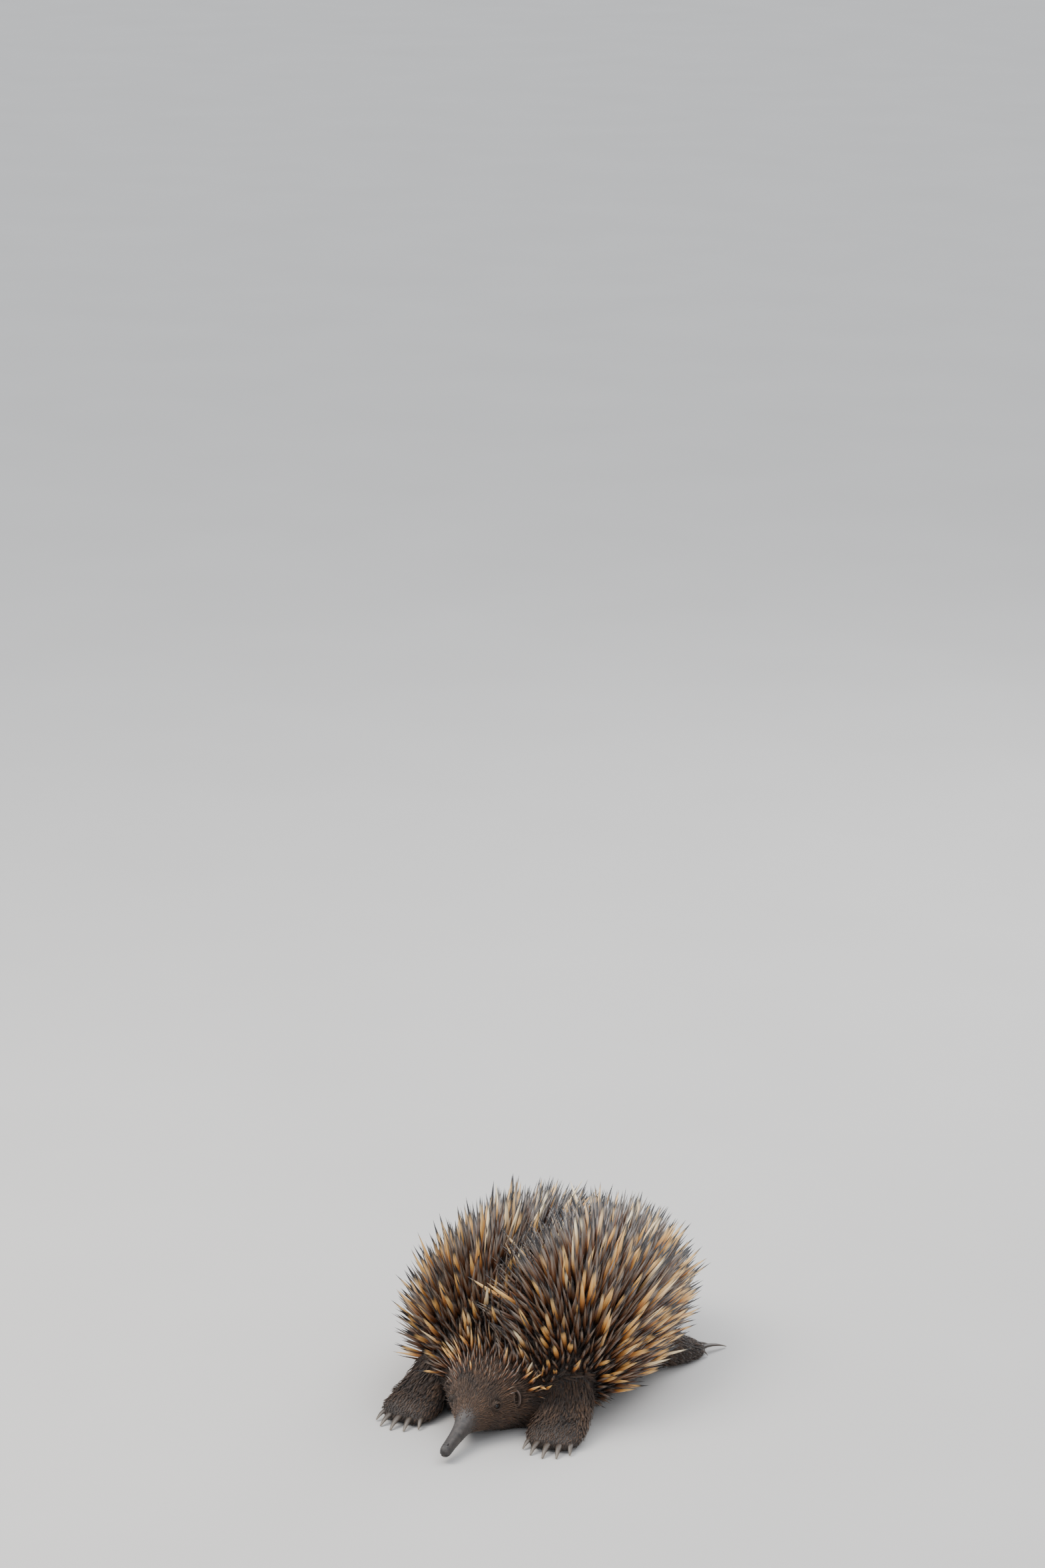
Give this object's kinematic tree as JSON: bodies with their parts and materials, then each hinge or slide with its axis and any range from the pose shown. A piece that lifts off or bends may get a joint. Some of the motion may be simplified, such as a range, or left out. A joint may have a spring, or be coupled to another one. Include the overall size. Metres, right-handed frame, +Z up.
{
  "type": "echidna",
  "caption": "Short-beaked echidna, life size, crouched on its belly with its spines raised in two fans, head lowered and beak near the floor.",
  "frame": {"origin": "on the floor, under the middle of the animal's own box", "axes": "-Y the way the animal faces, +X its left side, +Z up from the floor"},
  "size_m": [0.2696, 0.426, 0.1787],
  "materials": {
    "spines": "stout keratin spines, dark brown at the root, amber to cream in the middle and black at the tip, over dark brown hair",
    "fur": "short dark brown fur",
    "beak_skin": "bare dark grey skin, finely creased",
    "ear_skin": "bare brown skin",
    "claw": "horn, grey brown, paler and worn at the tip",
    "eye": "black, wet and glossy"
  },
  "bodies": {
    "root": {"torso": "spines", "neck": "spines", "head": "fur", "beak": "beak_skin", "tail": "spines", "foreleg_left": "fur", "foreleg_right": "fur", "hindleg_left": "fur", "hindleg_right": "fur", "ear_left": "ear_skin", "ear_right": "ear_skin", "eye_left": "eye", "eye_right": "eye"}
  },
  "joints": []
}
